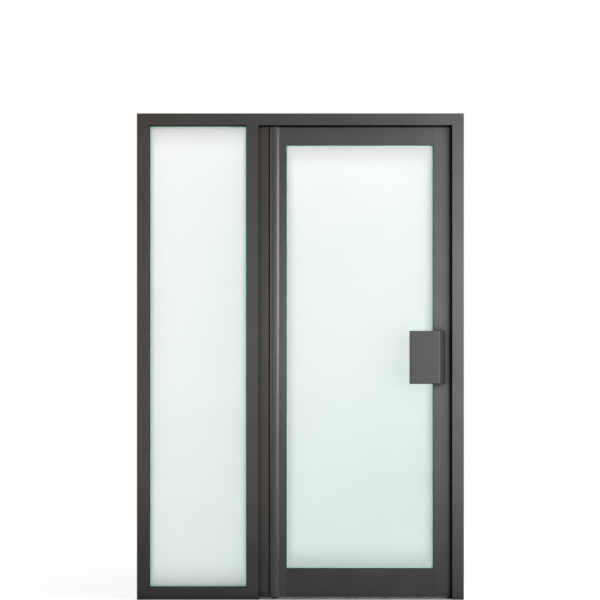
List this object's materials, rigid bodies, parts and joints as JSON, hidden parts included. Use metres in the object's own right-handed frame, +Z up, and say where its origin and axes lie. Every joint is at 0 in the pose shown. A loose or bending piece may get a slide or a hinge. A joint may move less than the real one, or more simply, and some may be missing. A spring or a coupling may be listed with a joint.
{
  "type": "aluminium shop door with side light",
  "caption": "Glazed aluminium shop door in a frame with a fixed side light; the leaf turns on a round finger-guard hinge stile and has a plate handle on each face.",
  "frame": {"origin": "on the wall face of the left jamb, at floor level, in the middle of the frame's depth", "axes": "+Z up, +X along the door front from the side light to the lock jamb, -Y towards the street side"},
  "size_m": [1.464, 0.128, 2.178],
  "materials": {
    "grey_coat": "satin",
    "bracket_coat": "satin",
    "bare_aluminium": "satin",
    "glass": "satin",
    "black_rubber": "matte",
    "pivot_steel": "satin",
    "bush_plastic": "matte"
  },
  "bodies": {
    "frame": {"left_jamb": "grey_coat", "right_jamb": "grey_coat", "head": "grey_coat", "mullion": "grey_coat", "side_sill": "grey_coat", "hinge_jamb": "grey_coat", "door_head_filler": "grey_coat", "head_stop": "grey_coat", "lock_stop": "grey_coat", "head_stop_seal": "black_rubber", "lock_stop_seal": "black_rubber", "threshold": "bare_aluminium", "side_glass": "glass", "side_front_gasket": "black_rubber", "side_back_gasket": "black_rubber", "side_bead_left": "grey_coat", "side_bead_right": "grey_coat", "side_bead_top": "grey_coat", "side_bead_bottom": "grey_coat", "top_pivot": "pivot_steel", "bottom_pivot": "pivot_steel"},
    "leaf": {"hinge_stile": "grey_coat", "lock_stile": "grey_coat", "leaf_top_rail": "grey_coat", "leaf_bottom_rail": "grey_coat", "leaf_glass": "glass", "leaf_front_gasket": "black_rubber", "leaf_back_gasket": "black_rubber", "leaf_bead_left": "grey_coat", "leaf_bead_right": "grey_coat", "leaf_bead_top": "grey_coat", "leaf_bead_bottom": "grey_coat", "top_pivot_bush": "bush_plastic", "bottom_pivot_bush": "bush_plastic", "front_handle_plate": "grey_coat", "front_handle_bracket": "bracket_coat", "back_handle_plate": "grey_coat", "back_handle_bracket": "bracket_coat"}
  },
  "joints": [
    {"name": "leaf_swing", "type": "hinge", "parent": "frame", "child": "leaf", "pos_m": [0.615, 0, 0], "axis": [0, 0, -1], "range_deg": [0, 90]}
  ]
}
